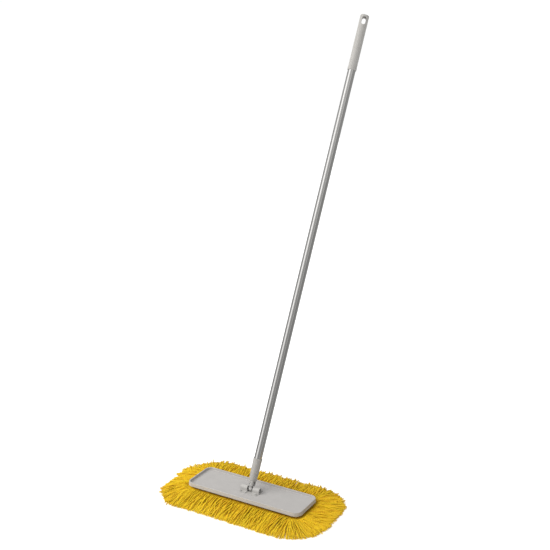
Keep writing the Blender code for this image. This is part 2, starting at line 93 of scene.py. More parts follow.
# Swivel joint
LEAN_PIN_Z = 0.0290
PIN_SPACING = 0.0150
REST_LEAN, REST_TILT = math.radians(18.72), math.radians(4.88)
BRACKET_LENGTH, BRACKET_WIDTH, FLANGE_CORNER = 0.068, 0.044, 0.006
SLOT_WIDTH, SLOT_FLOOR = 0.020, 0.0012
LUG_RADIUS, LUG_FOOT_WIDTH, LUG_FOOT_HEIGHT = 0.0092, 0.0012, 0.0016
LEAN_PIN_RADIUS, CAP_RADIUS, CAP_THICKNESS = 0.0035, 0.0056, 0.0020
BUSH_RADIUS = 0.0052
TONGUE_WIDTH, KNUCKLE_RADIUS, KNUCKLE_THICKNESS = 0.0100, 0.0070, 0.0084
TILT_PIN_RADIUS, TILT_HEAD_RADIUS, TILT_HEAD_THICKNESS = 0.0028, 0.0044, 0.0013
WASHER_RADIUS, WASHER_THICKNESS = 0.0064, 0.0007
SCREW_PLACES = [(x * 0.0285, y * 0.0165) for x in (-1, 1) for y in (-1, 1)]
SCREW_RADIUS, SCREW_HEAD_RADIUS, SCREW_HEAD_HEIGHT = 0.0020, 0.0036, 0.0022
SOCKET_SCREW_LENGTH = 0.0060

# Pole, measured along its own axis from the tilt pin
PRONG_THICKNESS, PRONG_RADIUS, FORK_ROOF = 0.0050, 0.0080, 0.0093
SOCKET_START, SOCKET_END = 0.0120, 0.0850
SOCKET_LOW_RADIUS, SOCKET_TOP_RADIUS = 0.0127, 0.0145
CORE_RADIUS, CORE_START = 0.0090, 0.0240
TUBE_RADIUS, TUBE_WALL, TUBE_START, TUBE_END = 0.0127, 0.0010, 0.0450, 1.4840
SOCKET_SCREW_AT = 0.0620
GRIP_START, GRIP_END = 1.3735, 1.5558
GRIP_RADIUS, GRIP_COLLAR_RADIUS, GRIP_COLLAR_LENGTH = 0.0143, 0.0149, 0.0085
GRIP_TOP_ROUND = 0.0035
HOLE_WIDTH, HOLE_LENGTH, HOLE_AT = 0.0125, 0.0265, 1.5362
HOLE_TURN = math.radians(27.5)

# Yarn
SEED = 41
STRAND_RADIUS = 0.0023
RINGS = 46  # along a strand
PLY_PITCH, PITCH_SPREAD = 0.0120, (0.85, 1.2)
PLY_AWAY, PLY_THICK = 0.46, 0.62  # of the strand's radius
OPEN_FROM = 0.86  # of the strand's length: from here on its plies open out
OPEN_SPREAD, OPEN_THINNER = (0.2, 0.9), 0.25
END_THICK, END_LENGTH = 0.55, 0.0004  # of the last ring of each ply
STRAND_APART, PLY_APART = 3.0, 0.5  # in the pattern of the fibres
LOWEST = 0.0001
# Fringe: how far the strands of each side are swept round, in degrees, by the way that they face
SWEEP = (
    (-180, 24), (-150, 36), (-120, 24), (-90, 6), (-45, 14), (0, 12), (90, 6), (150, 2), (180, 24),
)
# and how far from the spine rectangle they reach
REACH = (
    (-180, 0.118), (-150, 0.120), (-120, 0.134), (-90, 0.138), (-60, 0.137), (-35, 0.132), (0, 0.130),
    (45, 0.123), (90, 0.117), (115, 0.111), (135, 0.105), (150, 0.113), (166, 0.126), (180, 0.118),
)
MIDDLE_OFFSET = 0.108  # where strands are spread evenly
STRAND_START, START_SPREAD = 0.006, 0.002
JITTER = 0.28  # of the spacing
STRAND_TURN, STRAND_LIFT, STRAND_TINT = 5.0, 0.0006, 0.2
THICKNESS_SPREAD, TIP_THINNER = (0.86, 1.12), 0.08
# painted light and shade on the strands by the side they lie on: lighter at the front, darker at the
# ends
FRONT_PAINTED_LIGHT, RIGHT_PAINTED_SHADE, LEFT_PAINTED_SHADE = 0.10, -0.22, -0.08
EARLY_SWEEP = 0.35  # the share of its sweep that a strand has at its root
SWEEP_SHORTENS = 0.6
TUFT_PITCH, TUFT_UNEVEN = 0.017, 0.35
TUFT_TURN, TUFT_REACH, TUFT_LIFT, TUFT_TINT = 2.0, 0.0014, 0.0006, 0.12
TUFT_GATHER = 0.15  # how much of the way to the tuft's middle its strands' tips come
RISE_RUN = 0.016  # over which strands come up beside the plate
FALL_FROM, FALL_POWER = 0.42, 1.5
FAR_TIP_LIFT = 0.003
CURL, FAR_CURL, RARE_CURL, MOST_CURL = 0.0010, 0.0014, 0.006, 0.010
RARE_SHARE, CURL_FROM = 0.07, 0.88
# Pile under the backing
PAD_EDGE = 0.010
PILE_TOP, PILE_RINGS = 0.0080, 12
PILE_X_PITCH, PILE_Y_PITCH, PILE_JITTER = 0.0066, 0.0072, 0.0008
PILE_MARGIN, PILE_CORNER = 0.002, 0.022
PILE_RUN, PILE_LOW = (0.016, 0.026), (0.0021, 0.0030)
PARTING = 0.008  # half of the strip along the middle where the pile lies every way


def raised(z):
    return Matrix.Translation((0, 0, z))


LEAN_PLACE = raised(LEAN_PIN_Z) @ Matrix.Rotation(-REST_LEAN, 4, "X")
TILT_PLACE = LEAN_PLACE @ raised(PIN_SPACING) @ Matrix.Rotation(REST_TILT, 4, "Y")
ALONG_X = Matrix.Rotation(math.pi / 2, 4, "Y")
ALONG_Y = Matrix.Rotation(-math.pi / 2, 4, "X")
ENDS = ((-1, "left"), (1, "right"))
SIDES = ((-1, "front"), (1, "rear"))


# ---------------------------------------------------------------- materials


class Nodes:
    """Makes and links the nodes of one tree."""

    def __init__(self, owner):
        owner.use_nodes = True
        self.nodes, self.links = owner.node_tree.nodes, owner.node_tree.links

    def set(self, node, socket, value):
        if isinstance(value, bpy.types.NodeSocket):
            self.links.new(value, node.inputs[socket])
        else:
            node.inputs[socket].default_value = value

    def node(self, kind, output=0, properties=(), **values):
        """The output of a new node. A value named i and a number is for the socket at that number."""
        made = self.nodes.new("ShaderNode" + kind)
        for key, value in dict(properties).items():
            setattr(made, key, value)
        for key, value in values.items():
            self.set(made, int(key[1:]) if key[0] == "i" and key[1:].isdigit() else key, value)
        return made.outputs[output]

    def vector(self, operation, output, *values, **more):
        more.update((f"i{i}", value) for i, value in enumerate(values))
        return self.node("VectorMath", output, {"operation": operation}, **more)

    def ramp(self, fac, *stops):
        made = self.nodes.new("ShaderNodeValToRGB")
        self.set(made, "Fac", fac)
        elements = made.color_ramp.elements
        while len(elements) < len(stops):
            elements.new(0.5)
        for element, (position, colour) in zip(elements, stops):
            element.position = position
            element.color = (*colour, 1.0)
        return made.outputs["Color"]

    def between(self, fac, low, high):
        """Maps 0..1 to low..high."""
        return self.node("MapRange", Value=fac, i3=low, i4=high)

    def mix(self, fac, first, second):
        return self.node("Mix", 2, {"data_type": "RGBA"}, i0=fac, i6=first, i7=second)


class Surface(Nodes):
    """A material built around one Principled shader."""

    def __init__(self, name, colour, roughness, metallic=0.0, **values):
        self.material = bpy.data.materials.new(name)
        super().__init__(self.material)
        self.shader = self.nodes["Principled BSDF"]
        self.set(self.shader, "Base Color", (*colour, 1.0))
        self.set(self.shader, "Roughness", roughness)
        self.set(self.shader, "Metallic", metallic)
        for key, value in values.items():
            self.set(self.shader, key.replace("_", " "), value)

    def place(self, scale=(1, 1, 1), attribute=None):
        if attribute:
            vector = self.node("Attribute", "Vector", {"attribute_name": attribute})
        else:
            vector = self.node("TexCoord", "Object")
        return self.node("Mapping", Vector=vector, Scale=scale)

    def noise(self, scale, vector, detail=3.0, roughness=0.5):
        values = {"Detail": detail, "Roughness": roughness}
        return self.node("TexNoise", "Fac", Vector=vector, Scale=scale, **values)

    def bump(self, height, strength, distance):
        return self.node("Bump", Height=height, Strength=strength, Distance=distance)

    def finish(self, colour=None, roughness=None, normal=None):
        for socket, value in (("Base Color", colour), ("Roughness", roughness), ("Normal", normal)):
            if value is not None:
                self.set(self.shader, socket, value)
        return self.material


def shade(colour, factor):
    return tuple(channel * factor for channel in colour)


def moulded(name, colour, roughness, grain=0.00006, grain_scale=1400):
    """Moulded plastic: a fine spark-eroded grain, faint mottling, and scuffs that dull it."""
    s = Surface(name, colour, roughness, Specular_IOR_Level=0.45)
    where = s.place()
    mottle = s.noise(38, where, 4.0, 0.6)
    flow = s.noise(9, where, 2.0)
    tint = s.ramp(mottle, (0.3, shade(colour, 0.965)), (0.7, shade(colour, 1.03)))
    tint = s.mix(s.between(flow, 0.0, 0.25), tint, (*shade(colour, 0.93), 1))
    fine = s.noise(grain_scale, where, 2.0, 0.6)
    scuffs = s.noise(70, s.place((1, 6, 1)), 5.0, 0.7)
    rough = s.between(scuffs, roughness - 0.07, roughness + 0.09)
    return s.finish(tint, rough, s.bump(fine, 0.35, grain))


def metal_steel(name):
    """Zinc-plated steel, a little spotted."""
    s = Surface(name, (0.60, 0.59, 0.57), 0.3, 1.0)
    where = s.place()
    spots = s.noise(900, where, 3.0, 0.6)
    tint = s.ramp(spots, (0.3, (0.52, 0.52, 0.51)), (0.7, (0.68, 0.67, 0.64)))
    return s.finish(tint, s.between(s.noise(300, where), 0.24, 0.46), s.bump(spots, 0.2, 0.00003))


def metal_tube(name):
    """Satin aluminium, drawn along its length."""
    s = Surface(name, (0.76, 0.75, 0.73), 0.24, 1.0)
    drawn = s.noise(1.0, s.place((2600, 2600, 9), "local"), 4.0, 0.65)
    wide = s.noise(1.0, s.place((260, 260, 3), "local"), 3.0)
    tint = s.ramp(wide, (0.3, (0.70, 0.69, 0.67)), (0.7, (0.80, 0.79, 0.77)))
    rough = s.between(drawn, 0.17, 0.28)
    return s.finish(tint, rough, s.bump(drawn, 0.25, 0.00002))


def yarn_surface(name):
    """Twisted yarn: fibres along each ply, a colour of its own for each strand with painted light and
    shade by side, paler at its tip, and painted shade that darkens its root beside and under the plate."""
    s = Surface(name, (0.8, 0.5, 0.03), 0.8, Sheen_Weight=0.08, Sheen_Roughness=0.5)
    s.set(s.shader, "Sheen Tint", (1.0, 0.85, 0.45, 1.0))
    s.set(s.shader, "Specular IOR Level", 0.25)
    own = s.node("Attribute", "Fac", {"attribute_name": "strand"})
    along = s.node("Attribute", "Fac", {"attribute_name": "along"})
    fine = s.noise(1.0, s.place((3.2, 3.2, 160.0), "fibre"), 3.0, 0.6)
    tint = s.ramp(
        own,
        (0.0, (0.69, 0.35, 0.003)),
        (0.35, (0.75, 0.46, 0.005)),
        (0.7, (0.80, 0.54, 0.008)),
        (1.0, (0.70, 0.50, 0.006)),
    )
    tint = s.mix(s.between(fine, 0.0, 0.25), tint, (0.87, 0.63, 0.035, 1))
    tint = s.mix(s.between(along, 0.0, 0.25), tint, (0.84, 0.64, 0.05, 1))
    # painted shade: each strand is darkened from 8 to 20 percent of its length, beside and under the
    # plate's edge
    painted_root_shade = s.node("MapRange", Value=along, i1=0.08, i2=0.20, i3=0.5, i4=0.0)
    tint = s.mix(painted_root_shade, tint, (0.50, 0.21, 0.003, 1))
    rough = s.between(fine, 0.68, 0.9)
    return s.finish(tint, rough, s.bump(fine, 0.5, 0.00035))


def woven(name, colour, threads):
    """Cloth of crossed threads: threads is how many radians of weave there are to a metre."""
    s = Surface(name, colour, 0.85, Sheen_Weight=0.2, Sheen_Roughness=0.5)
    s.set(s.shader, "Specular IOR Level", 0.2)
    waves = []
    for axis in ("X", "Y"):
        bands = {"wave_type": "BANDS", "bands_direction": axis}
        values = {"Scale": threads / 20, "Distortion": 0.6, "Detail": 1.0, "Detail Scale": 2.0}
        waves.append(s.node("TexWave", "Fac", bands, Vector=s.place(), **values))
    checker = s.node("TexChecker", "Fac", Vector=s.place(), Scale=threads / math.pi)
    picked = s.node("Mix", i0=checker, i2=waves[0], i3=waves[1])
    worn = s.noise(60, s.place(), 4.0, 0.6)
    tint = s.mix(picked, (*shade(colour, 0.72), 1), (*shade(colour, 1.12), 1))
    tint = s.mix(s.between(worn, 0.0, 0.35), tint, (*shade(colour, 0.85), 1))
    return s.finish(tint, s.between(worn, 0.78, 0.95), s.bump(picked, 0.6, 0.0002))


# ---------------------------------------------------------------- meshes


def add_object(name, mesh, material=None):
    obj = bpy.data.objects.new(name, mesh)
    bpy.context.scene.collection.objects.link(obj)
    if material:
        mesh.materials.append(material)
    return obj


def add_piece(name, mesh, material, body, slot, *nodes):
    """A piece on its body, in place of the CAD nodes that it is shown for. Its slot is not used."""
    obj = add_object(name, mesh, material)
    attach(obj, body)
    if nodes:
        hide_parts(*nodes)
    return obj


def mesh_from(shape):
    """A mesh as it is, or a new one from a bmesh."""
    if not isinstance(shape, bmesh.types.BMesh):
        return shape
    bmesh.ops.remove_doubles(shape, verts=shape.verts, dist=WELD)
    bmesh.ops.recalc_face_normals(shape, faces=shape.faces)
    mesh = bpy.data.meshes.new("mesh")
    shape.to_mesh(mesh)
    shape.free()
    return mesh


def hard_piece(name, shape, material, body, slot, nodes, place=None, sharp=40):
    """A rigid piece from a shape made in its own place, ready on its body."""
    mesh = mesh_from(shape)
    mesh.name = name
    local = mesh.attributes.new("local", "FLOAT_VECTOR", "POINT")
    points = np.empty(len(mesh.vertices) * 3, np.float32)
    mesh.vertices.foreach_get("co", points)
    local.data.foreach_set("vector", points)
    if place is not None:
        mesh.transform(place)
    mesh.shade_smooth()
    mesh.set_sharp_from_angle(angle=math.radians(sharp))
    obj = add_piece(name, mesh, material, body, slot, *nodes)
    obj.modifiers.new("normals", "WEIGHTED_NORMAL").keep_sharp = True


def filleted(points, radius, steps=3, closed=False):
    """The polyline with each corner rounded by at most this radius."""
    points = [Vector(point) for point in points]
    count = len(points)
    corners = range(count) if closed else range(1, count - 1)
    out = [] if closed else [points[0]]
    for i in corners:
        corner = points[i]
        a, b = points[i - 1] - corner, points[(i + 1) % count] - corner
        if a.length < 1e-7 or b.length < 1e-7 or abs(a.angle(b) - math.pi) < 0.12:
            out.append(corner)
            continue
        reach = min(radius, a.length * 0.45, b.length * 0.45)
        start, end = corner + a.normalized() * reach, corner + b.normalized() * reach
        for step in range(steps + 1):
            t = step / steps
            out.append(start * (1 - t) ** 2 + corner * 2 * t * (1 - t) + end * t * t)
    if not closed:
        out.append(points[-1])
    return out


def outline_points(half_x, half_y, radius, arc_steps=7, pitch=0.004):
    """A rounded rectangle whose straight sides are divided too, as (x, y, normal x, normal y)."""
    out = []
    for i, (side_x, side_y) in enumerate(((1, -1), (1, 1), (-1, 1), (-1, -1))):
        centre = np.array([side_x * (half_x - radius), side_y * (half_y - radius)])
        for angle in np.radians(np.linspace(90 * i - 90, 90 * i, arc_steps + 1)):
            normal = np.array([math.cos(angle), math.sin(angle)])
            out.append((*(centre + radius * normal), *normal))
        length = 2 * ((half_y if i % 2 == 0 else half_x) - radius)
        steps = max(int(length / pitch), 1)
        ahead = np.array([-normal[1], normal[0]]) * length / steps
        start = centre + radius * normal
        out += [(*(start + ahead * step), *normal) for step in range(1, steps)]
    return np.array(out)


def rounded_outline(half_x, half_y, radius, steps=12):
    return outline_points(half_x, half_y, radius, steps, math.inf)[:, :2]


def loft(rings):
    bm = bmesh.new()
    loops = [[bm.verts.new(point) for point in ring] for ring in rings]
    count = len(loops[0])
    for low, high in zip(loops, loops[1:]):
        for i in range(count):
            j = (i + 1) % count
            bm.faces.new((low[i], low[j], high[j], high[i]))
    bm.faces.new(reversed(loops[0]))
    bm.faces.new(loops[-1])
    return bm


def swept_mesh(name, points, around=False):
    """Skins over points of (skin, ring, side), capped at both ends or going all round."""
    sides = points.shape[2]
    index = np.arange(points[..., 0].size).reshape(points.shape[:3])
    low, high = (index, np.roll(index, -1, 1)) if around else (index[:, :-1], index[:, 1:])
    quads = np.stack([low, np.roll(low, -1, 2), np.roll(high, -1, 2), high], axis=-1)
    caps = index[:0, 0] if around else np.concatenate([index[:, 0, ::-1], index[:, -1]])
    corners = np.concatenate([quads.ravel(), caps.ravel()]).astype(np.int32)
    totals = np.repeat([4, sides], [low.size, len(caps)])
    starts = (np.cumsum(totals) - totals).astype(np.int32)
    mesh = bpy.data.meshes.new(name)
    mesh.vertices.add(index.size)
    mesh.vertices.foreach_set("co", points.astype(np.float32).ravel())
    mesh.loops.add(len(corners))
    mesh.loops.foreach_set("vertex_index", corners)
    mesh.polygons.add(len(totals))
    mesh.polygons.foreach_set("loop_start", starts)
    mesh.update(calc_edges=True)
    mesh.validate()
    mesh.shade_smooth()
    return mesh


def unit(vectors):
    return vectors / np.linalg.norm(vectors, axis=2, keepdims=True)


def prism(outline, *heights):
    return loft([[(x, y, z) for x, y in outline] for z in heights])


def outline_loft(half_x, half_y, radius, sections, steps=12):
    """A solid whose outline is inset by each (inset, height) section in turn."""
    rings = []
    for inset, z in sections:
        outline = rounded_outline(half_x - inset, half_y - inset, max(radius - inset, 1e-4), steps)
        rings.append([(x, y, z) for x, y in outline])
    return loft(rings)


def turned(profile, steps=64, fillet=0.0, closed=False):
    """The (radius, height) profile turned about Z; it closes on itself or ends on the axis."""
    if fillet:
        profile = filleted(profile, fillet, closed=closed)
    bm = bmesh.new()
    verts = [bm.verts.new((point[0], 0, point[1])) for point in profile]
    edges = [bm.edges.new(pair) for pair in zip(verts, verts[1:])]
    if closed:
        edges.append(bm.edges.new((verts[-1], verts[0])))
    bmesh.ops.spin(
        bm, geom=verts + edges, axis=(0, 0, 1), cent=(0, 0, 0), angle=math.tau, steps=steps
    )
    return bm


def rod(radius, low, high, steps=64, fillet=0.0):
    return turned([(0, low), (radius, low), (radius, high), (0, high)], steps, fillet)


def ring(inner, outer, low, high, steps=64, fillet=0.0):
    profile = [(inner, low), (outer, low), (outer, high), (inner, high)]
    return turned(profile, steps, fillet, closed=True)


def block(low, high):
    middle, size = (Vector(high) + Vector(low)) / 2, Vector(high) - Vector(low)
    bm = bmesh.new()
    bmesh.ops.create_cube(bm, size=1, matrix=Matrix.LocRotScale(middle, None, size))
    return bm


def span(side, near, far):
    """(low, high) of what lies between near and far on this side of the middle."""
    return sorted((side * near, side * far))


def scratch(shape, place=None):
    """An object that is only used up in making another."""
    mesh = mesh_from(shape)
    if place is not None:
        mesh.transform(place)
    return add_object("scratch", mesh)


def fused(shape, place=None):
    return "UNION", scratch(shape, place)


def cut(shape, place=None):
    return "DIFFERENCE", scratch(shape, place)


def evaluated_mesh(obj):
    graph = bpy.context.evaluated_depsgraph_get()
    return bpy.data.meshes.new_from_object(obj.evaluated_get(graph), depsgraph=graph)


def combined(base, *steps):
    """The base's mesh after each (operation, object) in turn. The scratch objects are removed."""
    for operation, other in steps:
        boolean = base.modifiers.new("combine", "BOOLEAN")
        boolean.operation = operation
        boolean.object = other
    mesh = evaluated_mesh(base)
    for obj in (base, *(other for _, other in steps)):
        bpy.data.objects.remove(obj)
    return mesh


def softened(mesh, voxel, keep, passes=4):
    """The solid with every edge rounded, as moulding leaves it."""
    obj = scratch(mesh)
    remesh = obj.modifiers.new("remesh", "REMESH")
    remesh.mode, remesh.voxel_size = "VOXEL", voxel
    smooth = obj.modifiers.new("smooth", "SMOOTH")
    smooth.factor, smooth.iterations = 0.5, passes
    obj.modifiers.new("thin", "DECIMATE").ratio = keep
    result = evaluated_mesh(obj)
    bpy.data.objects.remove(obj)
    return result


# ---------------------------------------------------------------- tray plate


def quarter(steps):
    """(sine, cosine) from 0 to 90 degrees."""
    return [(math.sin(a), math.cos(a)) for a in np.linspace(0, math.pi / 2, steps)]


def screw_holes(low, high, steps):
    hole = SCREW_RADIUS + GAP
    return [cut(rod(hole, low, high, steps), Matrix.Translation((x, y, 0))) for x, y in SCREW_PLACES]


def make_plate(material):
    """A tray with a rounded lip round it and a pocket for the swivel bracket."""
    lip, edge = 0.0013, 0.0009  # roundings of the rim's top, outside and inside
    foot = 0.0016  # rounding between the rim and the tray's floor
    draft = 0.0008  # by how much the outer wall stands out at its foot and in at its top
    straight = 0.0022  # below the rim's top, where its rounding may begin
    under, floor = 0.002, 0.003  # how far the flat faces run in from their roundings
    inner = RIM_WIDTH + 0.0003
    sections = [(EDGE_ROUND + under - draft, PLATE_Z)]
    for u, v in quarter(7):
        sections.append((EDGE_ROUND * (1 - u) - draft, PLATE_Z + EDGE_ROUND * (1 - v)))
    sections += [(draft, RIM_Z - straight)]
    sections += [(draft + lip * (1 - v), RIM_Z - lip * (1 - u)) for u, v in quarter(6)]
    sections += [(RIM_WIDTH - edge * (1 - u), RIM_Z - edge * (1 - v)) for u, v in quarter(5)]
    sections += [(inner, TRAY_Z + foot + 0.0006)]
    sections += [(inner + foot * (1 - v), TRAY_Z + foot * (1 - u)) for u, v in quarter(6)]
    sections += [(inner + foot + floor, TRAY_Z)]
    body = scratch(outline_loft(PLATE_LENGTH / 2, PLATE_WIDTH / 2, PLATE_CORNER, sections, 16))
    half_x, half_y, corner = BRACKET_LENGTH / 2 + GAP, BRACKET_WIDTH / 2 + GAP, FLANGE_CORNER + GAP
    pocket = cut(outline_loft(half_x, half_y, corner, [(0, BRACKET_Z - GAP), (0, RIM_Z)]))
    mesh = combined(body, pocket, *screw_holes(PLATE_Z - CLEAR, TRAY_Z + CLEAR, 24))
    hard_piece("tray_plate", mesh, material, "frame", "tray_plastic", ["base_plate"])


# ---------------------------------------------------------------- swivel joint


def lug(side):
    """One round-topped cheek of the bracket, widened a little at its foot."""
    foot = FLANGE_TOP - 0.001 - LEAN_PIN_Z
    top, wide = foot + LUG_FOOT_HEIGHT, LUG_RADIUS + LUG_FOOT_WIDTH
    profile = [(-wide, foot), (-LUG_RADIUS, top)]
    for angle in np.linspace(math.pi, 0, 33):
        profile.append((LUG_RADIUS * math.cos(angle), LUG_RADIUS * math.sin(angle)))
    profile += [(LUG_RADIUS, top), (wide, foot)]
    ends = (SLOT_WIDTH / 2, BRACKET_LENGTH / 2)
    return loft([[(side * x, y, LEAN_PIN_Z + z) for y, z in profile] for x in ends])


def make_bracket(material):
    outline = rounded_outline(BRACKET_LENGTH / 2, BRACKET_WIDTH / 2, FLANGE_CORNER)
    base = scratch(prism(outline, BRACKET_Z, FLANGE_TOP))
    at_pin = raised(LEAN_PIN_Z) @ ALONG_X
    reach = BRACKET_LENGTH / 2 + CLEAR
    slot = block(
        (-SLOT_WIDTH / 2, -BRACKET_WIDTH, BRACKET_Z + SLOT_FLOOR),
        (SLOT_WIDTH / 2, BRACKET_WIDTH, LEAN_PIN_Z),
    )
    steps = [fused(lug(side)) for side in (-1, 1)]
    steps += [cut(slot), cut(rod(LEAN_PIN_RADIUS + GAP, -reach, reach, 40), at_pin)]
    seat = BRACKET_LENGTH / 2 - CAP_THICKNESS - 2 * GAP
    steps += [cut(rod(CAP_RADIUS + GAP, *span(side, seat, reach), 48), at_pin) for side in (-1, 1)]
    steps += screw_holes(BRACKET_Z - CLEAR, FLANGE_TOP + CLEAR, 32)
    mesh = softened(combined(base, *steps), 0.00040, 0.45)
    hard_piece("bracket", mesh, material, "frame", "joint_plastic", ["swivel_bracket"], sharp=60)


def make_knuckle(material):
    half_tongue, half_thick, inset = TONGUE_WIDTH / 2, KNUCKLE_THICKNESS / 2, 0.0002
    base = scratch(rod(KNUCKLE_RADIUS, -half_tongue, half_tongue), ALONG_X)
    neck = block(
        (inset - half_tongue, inset - half_thick, 0),
        (half_tongue - inset, half_thick - inset, PIN_SPACING),
    )
    at_tilt = raised(PIN_SPACING) @ ALONG_Y
    through = (-0.02, 0.02, 40)
    steps = [
        fused(neck),
        fused(rod(KNUCKLE_RADIUS, -half_thick, half_thick), at_tilt),
        cut(rod(LEAN_PIN_RADIUS + GAP, *through), ALONG_X),
        cut(rod(TILT_PIN_RADIUS + GAP, *through), at_tilt),
    ]
    mesh = softened(combined(base, *steps), 0.00025, 0.5)
    hard_piece("cross_block", mesh, material, "knuckle", "joint_plastic", ["knuckle"], LEAN_PLACE, 60)


def make_socket(material):
    """A tapered sleeve with a bead round its top, over a fork that holds the knuckle."""
    bore, seat = TUBE_RADIUS + GAP, TUBE_START - GAP
    bead, proud = SOCKET_END - 0.0055, SOCKET_TOP_RADIUS + 0.0004
    profile = [
        (0, SOCKET_START),
        (SOCKET_LOW_RADIUS - 0.0010, SOCKET_START),
        (SOCKET_LOW_RADIUS, SOCKET_START + 0.0010),
        (SOCKET_TOP_RADIUS - 0.0005, TUBE_START - 0.004),
        (SOCKET_TOP_RADIUS - 0.0002, bead),
        (proud, bead + 0.0008),
        (proud, SOCKET_END - 0.0008),
        (SOCKET_TOP_RADIUS - 0.0004, SOCKET_END),
        (bore, SOCKET_END),
        (bore, seat),
        (CORE_RADIUS, seat),
        (CORE_RADIUS, CORE_START),
        (0, CORE_START),
    ]
    inner = KNUCKLE_THICKNESS / 2 + WASHER_THICKNESS + 2 * GAP
    outer = inner + PRONG_THICKNESS
    wide = 0.02  # past everything on the fork
    fork = combined(
        scratch(block((-PRONG_RADIUS, -outer, 0), (PRONG_RADIUS, outer, SOCKET_START + 0.006))),
        fused(rod(PRONG_RADIUS, -outer, outer), ALONG_Y),
        ("INTERSECT", scratch(rod(SOCKET_LOW_RADIUS - 0.0002, -wide, 2 * wide))),
        cut(block((-wide, -inner, -wide), (wide, inner, FORK_ROOF))),
    )
    steps = [fused(fork), cut(rod(TILT_PIN_RADIUS + GAP, -wide, wide, 40), ALONG_Y)]
    for side in (-1, 1):
        ends = span(side, outer - TILT_HEAD_THICKNESS - 2 * GAP, outer + 0.003)
        steps.append(cut(rod(TILT_HEAD_RADIUS + GAP, *ends, 48), ALONG_Y))
    at_screw = raised(SOCKET_SCREW_AT) @ ALONG_Y
    steps.append(cut(rod(SCREW_RADIUS + GAP, 0.004, wide, 32), at_screw))
    mesh = softened(combined(scratch(turned(profile, 96)), *steps), 0.00035, 0.4)
    nodes = ["handle_socket"]
    hard_piece("pole_socket", mesh, material, "handle", "joint_plastic", nodes, TILT_PLACE, 60)


def make_screw(name, shank, material, body, place):
    """A dome-headed screw with a cross recess."""
    head, high = SCREW_HEAD_RADIUS, SCREW_HEAD_HEIGHT
    profile = [(0, -shank), (SCREW_RADIUS * 0.5, -shank), (SCREW_RADIUS, -shank + 0.0012)]
    profile += [(SCREW_RADIUS, 0), (head, 0), (head, high * 0.42), (head * 0.86, high * 0.75)]
    profile += [(head * 0.55, high * 0.96), (0, high)]
    arm, half = head * 0.60, 0.00042
    cross = [(-half, -half), (-half, -arm), (half, -arm)]
    for _ in range(3):
        cross += [(-y, x) for x, y in cross[-3:]]
    recess = cut(prism(cross, high * 0.35, high + 0.001))
    mesh = combined(scratch(turned(profile, 48, 0.0003)), recess)
    hard_piece(name + "_head", mesh, material, body, "zinc_steel", [name], place)


def make_screws(material):
    head_z = FLANGE_TOP + GAP
    for number, (x, y) in enumerate(SCREW_PLACES, 1):
        place = Matrix.Translation((x, y, head_z)) @ Matrix.Rotation(0.7 * number, 4, "Z")
        make_screw(f"bracket_screw_{number}", head_z - PLATE_Z - GAP, material, "frame", place)
    at = Matrix.Translation((0, SOCKET_TOP_RADIUS + GAP, SOCKET_SCREW_AT))
    place = TILT_PLACE @ at @ ALONG_Y
    make_screw("socket_screw", SOCKET_SCREW_LENGTH, material, "handle", place)


def make_pins(steel, dark):
    at_pin = raised(LEAN_PIN_Z) @ ALONG_X
    end = BRACKET_LENGTH / 2 - 0.0008
    pin = rod(LEAN_PIN_RADIUS, -end, end, 48, 0.0005)
    hard_piece("lean_axle", pin, steel, "frame", "zinc_steel", ["lean_pin"], at_pin)
    bore, outer = LEAN_PIN_RADIUS + GAP, BRACKET_LENGTH / 2 - GAP
    for side, where in ENDS:
        ends = span(side, TONGUE_WIDTH / 2 + GAP, SLOT_WIDTH / 2 - GAP)
        bush = ring(bore, BUSH_RADIUS, *ends, 48, 0.0004)
        node = f"lean_bush_{where}"
        hard_piece(f"spacer_{where}", bush, dark, "frame", "dark_plastic", [node], at_pin)
        cap = ring(bore, CAP_RADIUS, *span(side, outer - CAP_THICKNESS, outer), 48, 0.0004)
        node = f"lean_pin_cap_{where}"
        hard_piece(f"end_cap_{where}", cap, dark, "frame", "dark_plastic", [node], at_pin)
    at_tilt = LEAN_PLACE @ raised(PIN_SPACING) @ ALONG_Y
    bore, near = TILT_PIN_RADIUS + GAP, KNUCKLE_THICKNESS / 2 + GAP
    for side, where in SIDES:
        washer = ring(bore, WASHER_RADIUS, *span(side, near, near + WASHER_THICKNESS), 48, 0.0001)
        node = f"tilt_washer_{where}"
        hard_piece(f"washer_{where}", washer, dark, "knuckle", "dark_plastic", [node], at_tilt)
    outer = near + WASHER_THICKNESS + GAP + PRONG_THICKNESS
    low, high = GAP - outer, GAP - outer + TILT_HEAD_THICKNESS
    profile = [(0, low), (TILT_HEAD_RADIUS - 0.0006, low), (TILT_HEAD_RADIUS, low + 0.0006)]
    profile += [(TILT_HEAD_RADIUS, high), (TILT_PIN_RADIUS, high), (TILT_PIN_RADIUS, outer - GAP)]
    profile += [(0, outer - GAP)]
    across = TILT_PLACE @ ALONG_Y
    pin = turned(profile, 48, 0.0003)
    hard_piece("tilt_rivet", pin, steel, "handle", "zinc_steel", ["tilt_pin"], across)
    cap = ring(bore, TILT_HEAD_RADIUS, -high, -low, 48, 0.0003)
    hard_piece("tilt_rivet_washer", cap, steel, "handle", "zinc_steel", ["tilt_pin_cap"], across)


# ---------------------------------------------------------------- pole


def make_tube(material):
    inner = TUBE_RADIUS - TUBE_WALL
    profile = [(inner, TUBE_START), (TUBE_RADIUS, TUBE_START)]
    profile += [(TUBE_RADIUS, z) for z in np.linspace(TUBE_START + 0.06, TUBE_END - 0.06, 24)]
    profile += [(TUBE_RADIUS, TUBE_END), (inner, TUBE_END)]
    tube = turned(profile, 96, 0.0003, closed=True)
    hard_piece("tube", tube, material, "handle", "tube_metal", ["pole_tube"], TILT_PLACE)


